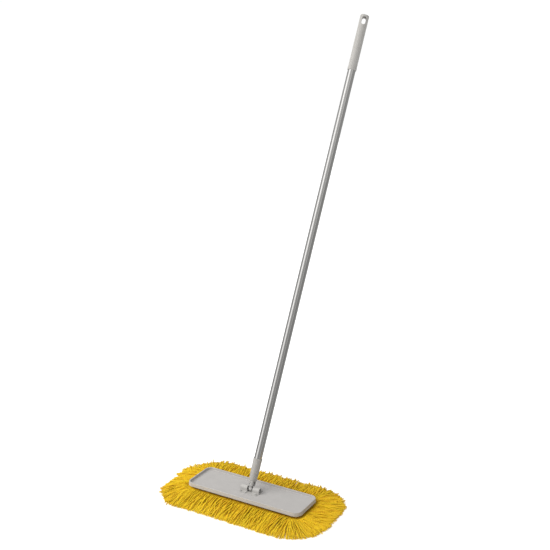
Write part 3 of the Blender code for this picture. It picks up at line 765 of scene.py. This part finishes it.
def make_grip(material):
    """A sleeve with a collar at its foot, a rounded top and an oval hole to hang it by."""
    bore, neck, tube_top = TUBE_RADIUS + GAP, GRIP_START + GRIP_COLLAR_LENGTH, TUBE_END + GAP
    profile = [
        (0, tube_top),
        (bore, tube_top),
        (bore, GRIP_START),
        (GRIP_COLLAR_RADIUS - 0.0006, GRIP_START),
        (GRIP_COLLAR_RADIUS, GRIP_START + 0.0006),
        (GRIP_COLLAR_RADIUS, neck),
        (GRIP_RADIUS, neck + 0.0025),
    ]
    for angle in np.linspace(0, math.pi / 2, 10):
        across = GRIP_RADIUS - GRIP_TOP_ROUND * (1 - math.cos(angle))
        profile.append((across, GRIP_END - GRIP_TOP_ROUND * (1 - math.sin(angle))))
    profile.append((0, GRIP_END))
    half = HOLE_WIDTH / 2
    hole = prism(rounded_outline(half, HOLE_LENGTH / 2, half - 0.0001), -0.02, 0.02)
    turn = Matrix.Rotation(HOLE_TURN, 4, "Z") @ Matrix.Rotation(math.pi / 2, 4, "X")
    cutter = cut(hole, raised(HOLE_AT) @ turn)
    mesh = softened(combined(scratch(turned(profile, 96)), cutter), 0.00050, 0.35)
    hard_piece("hand_grip", mesh, material, "handle", "grip_plastic", ["grip"], TILT_PLACE, 60)


# ---------------------------------------------------------------- yarn


@dataclass
class Layer:
    """A layer of the fringe, and how much its strands vary."""

    name: str
    heights: tuple  # of a strand's middle: at its root, beside the plate and at its tip
    share: float  # of REACH
    shift: float  # of the first strand, in spacings
    spacing: float = 0.0043
    thick: float = 1.0  # times STRAND_RADIUS
    jitter: float = 1.0  # times JITTER
    loose: float = 1.0  # times every turn and gathering
    spread: float = 0.0030  # of its reach
    sway: float = 0.0022  # of its waves sideways
    short: float = 0.0  # how far a strand mostly falls short
    crimp: float = 0.0  # of its waves up and down
    curls: float = 1.0  # times the rise of its end


LAYERS = (
    Layer(
        "under", (0.0030, 0.0034, 0.0029), 0.982, 0.1,
        spacing=0.0042, thick=1.40, jitter=0.4, loose=0.06, spread=0.0016, sway=0.0004, curls=0.0,
    ),
    Layer("middle", (0.0038, 0.0076, 0.0034), 0.995, 0.43, short=0.001, crimp=0.0006),
    Layer("upper", (0.0046, 0.0112, 0.0046), 1.000, 0.77, short=0.006, crimp=0.0011),
)


def outline_place(t, offset):
    """(anchor on the spine rectangle, direction faced in degrees) at distance t round the outline."""
    arc = offset * math.pi / 2
    t %= 4 * (SPINE_X + SPINE_Y + arc)
    anchor = np.array([-SPINE_X, -SPINE_Y])
    for i, length in enumerate((2 * SPINE_X, 2 * SPINE_Y) * 2):
        faced = 90.0 * i - 90.0
        ahead = np.array([-math.sin(math.radians(faced)), math.cos(math.radians(faced))])
        if t < length:
            return anchor + t * ahead, faced
        anchor = anchor + length * ahead
        if t < length + arc:
            return anchor, faced + 90.0 * (t - length) / arc
        t -= length + arc
    return anchor, -90.0


def side_of(faced):
    return ("front", "right", "rear", "left")[int(((faced + 135) % 360) // 90)]


def by_angle(table, faced):
    angles, amounts = zip(*table)
    return float(np.interp((faced + 180) % 360 - 180, angles, amounts))


def ramped(values, start, run):
    """0 before start, 1 after start + run."""
    return np.clip((values - start) / run, 0, 1)


def eased(share):
    return share * share * (3 - 2 * share)


def strand_paths(layer, random):
    """Per side: the strands' centre lines, radii and own values, a random tone with painted light and
    shade by side.
    """
    length = 4 * (SPINE_X + SPINE_Y) + MIDDLE_OFFSET * math.tau
    tufts = int(length / TUFT_PITCH) + 2
    tuft_turn, tuft_reach, tuft_lift, tuft_tint = (
        random.normal(0, spread, tufts) for spread in (TUFT_TURN, TUFT_REACH, TUFT_LIFT, TUFT_TINT)
    )
    beside, beyond = PLATE_WIDTH / 2 - SPINE_Y, PLATE_LENGTH / 2 - SPINE_X
    root_z, crown_z, tip_z = layer.heights
    found = {"front": [], "right": [], "rear": [], "left": []}
    s = np.linspace(0, 1, RINGS)
    for i in range(int(length / layer.spacing)):
        t = (i + layer.shift + random.uniform(-JITTER, JITTER) * layer.jitter) * layer.spacing
        anchor, faced = outline_place(t, MIDDLE_OFFSET)
        nx, ny = math.cos(math.radians(faced)), math.sin(math.radians(faced))
        far = max(ny, 0)
        # tufts of uneven width
        place = t / TUFT_PITCH + TUFT_UNEVEN * math.sin(7 * t / TUFT_PITCH) + layer.shift
        tuft = int(place) % tufts
        off_middle = (place % 1.0 - 0.5) * TUFT_PITCH
        # seen from above: outwards, turned, drawn to the tuft's middle and waved
        turn = layer.loose * (tuft_turn[tuft] + random.normal(0, STRAND_TURN))
        turn = math.radians(by_angle(SWEEP, faced) + turn)
        reach = by_angle(REACH, faced) * layer.share + tuft_reach[tuft] + random.normal(0, layer.spread)
        reach -= layer.short * random.exponential(1)
        start = STRAND_START + random.uniform(-START_SPREAD, START_SPREAD)
        radial = start + (reach - start) * s
        lateral = math.tan(turn) * (radial - start) * (EARLY_SWEEP + (1 - EARLY_SWEEP) * s)
        lateral = lateral - TUFT_GATHER * layer.loose * off_middle * eased(s)
        wave = random.uniform(0, math.tau)
        sway = random.normal(0, layer.sway)
        lateral = lateral + sway * np.sin((2.6 + random.uniform(0, 2)) * math.pi * s + wave) * s
        radial = radial - (1 - math.cos(turn)) * (reach - start) * SWEEP_SHORTENS * s
        x = anchor[0] + nx * radial - ny * lateral
        y = anchor[1] + ny * radial + nx * lateral
        # from the side: up beside the plate, down to the floor, and crimped
        crown = crown_z + tuft_lift[tuft] + random.normal(0, STRAND_LIFT)
        plate_edge = beside + (beyond - beside) * abs(nx) ** 0.5
        rise = eased(ramped(radial, plate_edge - 0.002, RISE_RUN))
        fall = ramped(s, FALL_FROM, 1 - FALL_FROM) ** FALL_POWER
        z = root_z + (crown - root_z) * rise
        z = z + (tip_z + FAR_TIP_LIFT * far - z) * fall
        crimps = np.sin((2.4 + 2.2 * wave / math.tau) * math.pi * s + wave * 1.7)
        z = z + layer.crimp * crimps * rise
        # a few ends stand up, most of them on the far side
        curl = random.exponential(CURL + FAR_CURL * far)
        curl += RARE_CURL * (random.uniform(0, 1) < RARE_SHARE * far)
        z = z + min(curl, MOST_CURL) * layer.curls * ramped(s, CURL_FROM, 1 - CURL_FROM) ** 1.5
        radii = STRAND_RADIUS * layer.thick * random.uniform(*THICKNESS_SPREAD) * (1 - TIP_THINNER * s)
        # painted light and shade by side, added to the strand's random tone
        own = 0.5 + FRONT_PAINTED_LIGHT * max(-ny, 0) + RIGHT_PAINTED_SHADE * max(nx, 0) + LEFT_PAINTED_SHADE * max(-nx, 0)
        own = float(np.clip(own + tuft_tint[tuft] + random.normal(0, STRAND_TINT), 0, 1))
        found[side_of(faced)].append((np.stack([x, y, z], 1), radii, own))
    return found


def yarn_mesh(name, strands, random, plies=2, sides=5):
    """Every strand as plies twisted round each other, opening out at the cut end."""
    centres, radii, own = (np.array(values) for values in zip(*strands))
    count, rings = centres.shape[:2]
    tangent = unit(np.gradient(centres, axis=1))
    sideways = unit(np.cross(np.array([0, 0, 1.0]), tangent))
    upwards = np.cross(tangent, sideways)
    steps = np.linalg.norm(np.diff(centres, axis=1), axis=2)
    arc = np.concatenate([np.zeros((count, 1)), np.cumsum(steps, axis=1)], axis=1)
    share = arc / arc[:, -1:]
    pitch = PLY_PITCH * random.uniform(*PITCH_SPREAD, (count, 1))
    phase = random.uniform(0, math.tau, (count, 1))
    opening = ramped(share, OPEN_FROM, 1 - OPEN_FROM) ** 2
    turn = phase + math.tau * arc / pitch

    def round_about(middle, radius, angle):
        across = (radius * np.cos(angle))[..., None] * sideways
        return middle + across + (radius * np.sin(angle))[..., None] * upwards

    points, fibre, along = [], [], []
    for ply in range(plies):
        angle = turn + math.tau * ply / plies
        away = radii * PLY_AWAY * (1 + opening * random.uniform(*OPEN_SPREAD, (count, 1)))
        thick = radii * PLY_THICK * (1 - OPEN_THINNER * opening)
        thick[:, -1] *= END_THICK
        centre = round_about(centres, away, angle)
        centre[:, -1] += tangent[:, -1] * END_LENGTH
        offset = arc + STRAND_APART * np.arange(count)[:, None] + PLY_APART * ply
        for b in np.linspace(0, math.tau, sides, endpoint=False):
            points.append(round_about(centre, thick, b + angle))
            column = np.broadcast_to(np.array([math.cos(b), math.sin(b)]), (count, rings, 2))
            fibre.append(np.concatenate([column, offset[..., None]], axis=2))
            along.append(share)

    def ordered(values, *width):
        """In the mesh's order: strand, ply, ring, side."""
        values = np.array(values).reshape(plies, sides, count, rings, *width)
        return values.transpose(2, 0, 3, 1, *range(4, 4 + len(width))).astype(np.float32)

    points = ordered(points, 3)
    points[..., 2] = np.maximum(points[..., 2], LOWEST)
    mesh = swept_mesh(name, points.reshape(count * plies, rings, sides, 3))
    each = np.repeat(own, plies * rings * sides).astype(np.float32)
    for title, values in (("strand", each), ("along", ordered(along))):
        mesh.attributes.new(title, "FLOAT", "POINT").data.foreach_set("value", values.ravel())
    local = mesh.attributes.new("fibre", "FLOAT_VECTOR", "POINT")
    local.data.foreach_set("vector", ordered(fibre, 3).ravel())
    return mesh


def make_fringe(material):
    random = np.random.default_rng(SEED)
    for layer in LAYERS:
        for side, strands in strand_paths(layer, random).items():
            name = f"yarn_{side}_{layer.name}"
            mesh = yarn_mesh(name, strands, random)
            add_piece(name, mesh, material, "refill", "yarn", f"fringe_{side}")


# ---------------------------------------------------------------- the refill's cloth


def make_backing(material):
    """The canvas: a closed sheet, puckered a little along its seams."""
    half_x, half_y, radius = SPINE_X + BACKING_OFFSET, SPINE_Y + BACKING_OFFSET, BACKING_OFFSET
    base = outline_points(half_x, half_y, radius)
    insets = [0.0, 0.0006, 0.002, 0.004, 0.0065, 0.009, 0.012, 0.015]
    insets += [half_y - y for y in (0.039, 0.036, 0.032, 0.028, 0.023, 0.018, 0.013, 0.008, 0.004)]
    seam_y, seam_width = 0.041, 0.006
    low, high, closing = BACKING_Z + 0.0003, BACKING_TOP - 0.0004, 0.0003
    rows = []
    for middle, at_rim, order in ((low, closing, insets[::-1]), (high, -closing, insets)):
        for inset in order:
            shrunk = 0.9 * min(inset, radius)
            xy = base[:, :2] - base[:, 2:] * shrunk
            xy = xy * [(half_x - inset) / (half_x - shrunk), (half_y - inset) / (half_y - shrunk)]
            x, y = xy.T
            pucker = 0.00018 * np.sin(x * 520 + 1.3 * np.sin(x * 90))
            pucker = pucker * np.exp(-(((np.abs(y) - seam_y) / seam_width) ** 2))
            swell = 0.00010 * np.sin(x * 75 + y * 210)
            z = middle + (0 if inset else at_rim) + pucker + swell
            rows.append(np.column_stack([xy, z]))
    name = "backing_canvas"
    mesh = swept_mesh(name, np.array([rows]))
    return add_piece(name, mesh, material, "refill", "backing_cloth", "mop_backing")


def make_binding(material):
    """The tape folded over the canvas edge: a flattened tube round it, gathered a little."""
    half_x, half_y = SPINE_X + BINDING_OFFSET, SPINE_Y + BINDING_OFFSET
    path = outline_points(half_x, half_y, BINDING_OFFSET, 18, 0.0016)
    middle, half_z = (BACKING_Z + BACKING_TOP) / 2, (BACKING_TOP - BACKING_Z) / 2
    sides, squareness, pinch = 12, 0.7, 0.05
    x, y, nx, ny = path.T[..., None]
    angles = np.linspace(0, -math.tau, sides, endpoint=False)
    across, up = (np.copysign(abs(v) ** squareness, v) for v in (np.cos(angles), np.sin(angles)))
    across = BINDING_HALF_WIDTH * across
    z = middle + half_z * up * (1 - pinch * (np.arange(len(path)) % 2))[:, None]
    mesh = swept_mesh("edge_binding", np.stack([x + nx * across, y + ny * across, z], 2)[None], True)
    return add_piece("edge_binding", mesh, material, "refill", "backing_cloth", "edge_tape")


def threads_mesh(name, centres, radius, sides, taper=0.5):
    """Many short round threads: centres is (thread, ring, 3)."""
    tangent = unit(np.gradient(centres, axis=1))
    helper = np.where(np.abs(tangent[..., 2:3]) > 0.9, [[[1.0, 0, 0]]], [[[0, 0, 1.0]]])
    across = unit(np.cross(helper, tangent))
    up = np.cross(tangent, across)
    share = np.clip(np.linspace(0, 1, centres.shape[1]), 0.04, 0.96)
    radii = radius * (taper + (1 - taper) * np.sin(np.pi * share) ** 0.5)[None, :, None]
    angles = np.linspace(0, math.tau, sides, endpoint=False)
    loops = [centres + radii * (math.cos(a) * across + math.sin(a) * up) for a in angles]
    return swept_mesh(name, np.stack(loops, axis=2))


def stitch_line(path, level, stitch=0.0030, gap=0.0011, dip=0.0004):
    """Stitches of one thread along a closed path of (x, y, ...): each dives into the cloth."""
    xy = np.concatenate([path[:, :2], path[:1, :2]])
    lengths = np.linalg.norm(np.diff(xy, axis=0), axis=1)
    arc = np.concatenate([[0], np.cumsum(lengths)])
    count = int(arc[-1] / (stitch + gap))
    share = np.linspace(0, 1, 6)
    starts = np.arange(count) * arc[-1] / count
    at = (starts[:, None] + share * stitch) % arc[-1]
    x, y = np.interp(at, arc, xy[:, 0]), np.interp(at, arc, xy[:, 1])
    z = level - dip + (dip + 0.0001) * np.sin(np.pi * share) ** 0.6
    return np.stack([x, y, np.broadcast_to(z, x.shape)], axis=2)


def make_stitches(material):
    """Thread round the canvas, inside its binding, and round each loop tape."""
    seam = outline_points(SPINE_X + SEAM_OFFSET, SPINE_Y + SEAM_OFFSET, SEAM_OFFSET)
    lines = [stitch_line(seam, BACKING_TOP)]
    inset, corner = 0.0022, 0.0012
    for side in (-1, 1):
        path = outline_points(STRIP_X - inset, STRIP_Y - inset, corner)
        path[:, 1] += side * STRIP_CENTRE
        lines.append(stitch_line(path, LOOP_TOP))
    mesh = threads_mesh("seam_thread", np.concatenate(lines), 0.00032, 6)
    return add_piece("seam_thread", mesh, material, "refill", "backing_cloth")


def tape_mesh(name, side, low, high, rounding, threads, thread_radius):
    """A strip of tape with many short threads on it."""
    sections = [(rounding, low), (0, low + 0.0002), (0, high - 0.0002), (rounding, high)]
    tape = mesh_from(outline_loft(STRIP_X, STRIP_Y, STRIP_CORNER, sections, 5))
    tape.transform(Matrix.Translation((0, side * STRIP_CENTRE, 0)))
    bm = bmesh.new()
    for part in (tape, threads_mesh("threads", threads, thread_radius, 4, 0.8)):
        bm.from_mesh(part)
    mesh = bpy.data.meshes.new(name)
    bm.to_mesh(mesh)
    bm.free()
    mesh.shade_smooth()
    mesh.set_sharp_from_angle(angle=math.radians(50))
    return mesh


def make_loop_tape(side, where, material, random):
    """The soft half of the hook and loop fastening: a woven tape under a nap of small loops."""
    high, edge = LOOP_TOP - 0.0005, 0.001
    x = random.uniform(edge - STRIP_X, STRIP_X - edge, LOOP_COUNT)
    y = random.uniform(edge - STRIP_Y, STRIP_Y - edge, LOOP_COUNT) + side * STRIP_CENTRE
    turn = random.uniform(0, math.tau, LOOP_COUNT)
    size = random.uniform(0.0006, 0.0011, LOOP_COUNT)
    lift = random.uniform(0.00025, 0.00042, LOOP_COUNT)
    x, y, turn, size, lift = (values[:, None] for values in (x, y, turn, size, lift))
    share = np.linspace(0, math.pi, 6)[None, :]
    run = -np.cos(share) * size
    z = high - 0.00005 + np.sin(share) * lift
    loops = np.stack([x + run * np.cos(turn), y + run * np.sin(turn), z], axis=2)
    name = f"loop_tape_{where}"
    mesh = tape_mesh(name, side, LOOP_Z, high, 0.0003, loops, 0.00011)
    return add_piece(name, mesh, material, "refill", "loop_tape", f"loop_strip_{where}")


def make_hook_tape(side, where, material):
    """The stiff half, under the tray: rows of small hooks that point down."""
    high = PLATE_Z - GAP
    low = high - 0.0010
    x, y = (
        (np.arange(count) - (count - 1) / 2) * HOOK_PITCH
        for count in (int(2 * half / HOOK_PITCH) - 1 for half in (STRIP_X, STRIP_Y))
    )
    rows = len(y)
    x, y = (grid.ravel()[:, None] for grid in np.meshgrid(x, y))
    facing = np.where(np.round(y / HOOK_PITCH + rows) % 2 == 0, 1.0, -1.0)
    run = np.array([0, 0.00002, 0.00010, 0.00034, 0.00052])
    drop = np.array([0, 0.00035, 0.00058, 0.00066, 0.00050])
    hooks = np.broadcast_arrays(x + facing * run, y + side * STRIP_CENTRE, low + 0.00005 - drop)
    hooks = np.stack(hooks, axis=2)
    name = f"hook_tape_{where}"
    mesh = tape_mesh(name, side, low, high, 0.0002, hooks, 0.00013)
    add_piece(name, mesh, material, "frame", "hook_tape", f"hook_strip_{where}")


def make_pile(material, random):
    """The cut yarn that is sewn under the canvas, laid over outwards as it is swept along."""
    edge_x, edge_y = SPINE_X + PAD_EDGE, SPINE_Y + PAD_EDGE
    inside_x, inside_y = edge_x - PILE_MARGIN, edge_y - PILE_MARGIN
    strands = []
    share = np.linspace(0, 1, PILE_RINGS)
    bend = 0.08 * share + 0.92 * np.clip(share * 1.15 - 0.15, 0, 1) ** 1.5
    for row in range(int(2 * edge_y / PILE_Y_PITCH)):
        for column in range(int(2 * edge_x / PILE_X_PITCH)):
            x = (column + 0.5 + 0.5 * (row % 2)) * PILE_X_PITCH - edge_x + random.normal(0, PILE_JITTER)
            y = (row + 0.5) * PILE_Y_PITCH - edge_y + random.normal(0, PILE_JITTER)
            outward = math.copysign(max(abs(x) - SPINE_X + PILE_CORNER, 0) / PILE_CORNER, x)
            lean = math.atan2(math.copysign(1, y + random.normal(0, 0.014)), outward)
            lean += random.normal(0, 0.3 + 0.8 * math.exp(-((y / PARTING) ** 2)))
            run = random.uniform(*PILE_RUN)
            x, y = float(np.clip(x, -inside_x, inside_x)), float(np.clip(y, -inside_y, inside_y))
            end_x = float(np.clip(x + run * math.cos(lean), -inside_x, inside_x))
            end_y = float(np.clip(y + run * math.sin(lean), -inside_y, inside_y))
            low = random.uniform(*PILE_LOW)
            z = low + (PILE_TOP - low) * (1 - share) ** 1.3
            line = np.stack([x + (end_x - x) * bend, y + (end_y - y) * bend, z], 1)
            radii = np.full(PILE_RINGS, STRAND_RADIUS * random.uniform(0.9, 1.08))
            strands.append((line, radii, float(np.clip(random.normal(0.5, 0.22), 0, 1))))
    mesh = yarn_mesh("yarn_pile", strands, random)
    return add_piece("yarn_pile", mesh, material, "refill", "yarn", "yarn_pad")


def make_refill(yarn, canvas, binding, loops, thread):
    random = np.random.default_rng(SEED + 1)
    pile = make_pile(yarn, random)
    backing = make_backing(canvas)
    on_it = [make_binding(binding), make_stitches(thread)]
    on_it += [make_loop_tape(side, where, loops, random) for side, where in SIDES]


# ---------------------------------------------------------------- scene


def make_camera():
    camera = add_object("camera", bpy.data.cameras.new("camera"))
    camera.location = CAMERA_PLACE
    camera.rotation_euler = Vector(CAMERA_AIM).to_track_quat("-Z", "Y").to_euler()
    camera.data.sensor_width = SENSOR_WIDTH
    camera.data.lens = CAMERA_LENS
    camera.data.clip_end = 100
    bpy.context.scene.camera = camera


def make_floor():
    s = Surface("studio_floor", (0.93, 0.93, 0.93), 0.9, Emission_Strength=FLOOR_GLOW)
    s.set(s.shader, "Emission Color", (1, 1, 1, 1))
    tone = s.noise(3, s.place())
    tint = s.ramp(tone, (0, (0.925, 0.925, 0.925)), (1, (0.935, 0.935, 0.935)))
    bm = bmesh.new()
    bmesh.ops.create_circle(bm, cap_ends=True, segments=96, radius=14)
    mesh = bpy.data.meshes.new("floor")
    bm.to_mesh(mesh)
    bm.free()
    floor = add_object("floor", mesh, s.finish(tint))
    floor.visible_glossy = False


def make_room():
    """The light from all round, which the camera doesn't see: it sees plain white."""
    world = bpy.data.worlds.new("studio")
    bpy.context.scene.world = world
    s = Nodes(world)
    direction = s.node("TexCoord", "Generated")
    bearing = s.vector("NORMALIZE", 0, s.vector("MULTIPLY", 0, direction, (1.0, 1.0, 0.0)))
    towards = s.vector("DOT_PRODUCT", "Value", bearing, BRIGHT_WALL)
    share = s.node("MapRange", Value=towards, i1=-1)
    z = s.node("SeparateXYZ", "Z", i0=direction)
    smooth = {"interpolation_type": "SMOOTHSTEP"}
    overhead = s.node("MapRange", 0, smooth, Value=z, i1=CEILING_FROM, i2=CEILING_FULL, i4=CEILING)
    growth = s.node("MapRange", Value=z, i1=LOW_Z, i2=HIGH_Z, i3=REFLECTED_LOW, i4=REFLECTED_HIGH)
    walls, panels = (
        s.ramp(share, *((position, (grey, grey, grey)) for position, grey in stops))
        for stops in (ROOM, REFLECTED)
    )
    panels = s.vector("SCALE", 0, panels, Scale=growth)
    lit = s.mix(s.node("LightPath", "Is Glossy Ray"), walls, panels)
    lit = s.vector("ADD", 0, lit, overhead)
    white = (BACKDROP, BACKDROP, BACKDROP, 1.0)
    shown = s.mix(s.node("LightPath", "Is Camera Ray"), lit, white)
    s.set(s.nodes["Background"], "Color", shown)


def make_lights():
    sun = bpy.data.lights.new("key", "SUN")
    sun.energy, sun.angle = KEY_POWER, KEY_ANGLE
    side = bpy.data.lights.new("side", "AREA")
    side.energy, side.size = SIDE_POWER, SIDE_SIZE
    for light, place in ((sun, KEY_FROM), (side, SIDE_PLACE)):
        light.color = LIGHT_COLOUR
        obj = add_object(light.name, light)
        obj.location = place
        obj.rotation_euler = (-Vector(place)).to_track_quat("-Z", "Y").to_euler()
        obj.visible_glossy = False


def main():
    make_camera()
    make_floor()
    make_room()
    make_lights()
    bpy.context.scene.view_settings.view_transform = "Standard"
    tray = moulded("tray_plastic_surface", (0.447, 0.432, 0.419), 0.45)
    joint = moulded("joint_plastic_surface", (0.44, 0.428, 0.41), 0.48)
    socket = moulded("socket_plastic_surface", (0.35, 0.342, 0.33), 0.46)
    grip = moulded("grip_plastic_surface", (0.405, 0.394, 0.375), 0.5, 0.0001, 900)
    dark = moulded("dark_plastic_surface", (0.12, 0.12, 0.12), 0.5)
    steel = metal_steel("zinc_steel_surface")
    aluminium = metal_tube("aluminium_surface")
    yarn = yarn_surface("yarn_surface")
    canvas = woven("canvas_surface", (0.60, 0.40, 0.07), 1500)
    # painted shade: the binding is given the dark brown of yarn in shadow, for the gap under the
    # plate's edge
    binding = woven("binding_painted_shade_surface", (0.20, 0.125, 0.015), 2300)
    thread = woven("thread_surface", (0.86, 0.82, 0.70), 3500)
    loops = woven("loop_tape_surface", (0.55, 0.53, 0.48), 2600)
    hooks = moulded("hook_tape_surface", (0.20, 0.20, 0.20), 0.42)
    make_plate(tray)
    make_bracket(joint)
    make_knuckle(joint)
    make_socket(socket)
    make_pins(steel, dark)
    make_screws(steel)
    make_tube(aluminium)
    make_grip(grip)
    make_fringe(yarn)
    make_refill(yarn, canvas, binding, loops, thread)
    for side, where in SIDES:
        make_hook_tape(side, where, hooks)
    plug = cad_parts["pole_foot_plug"].data.materials
    plug.clear()
    plug.append(dark)


main()
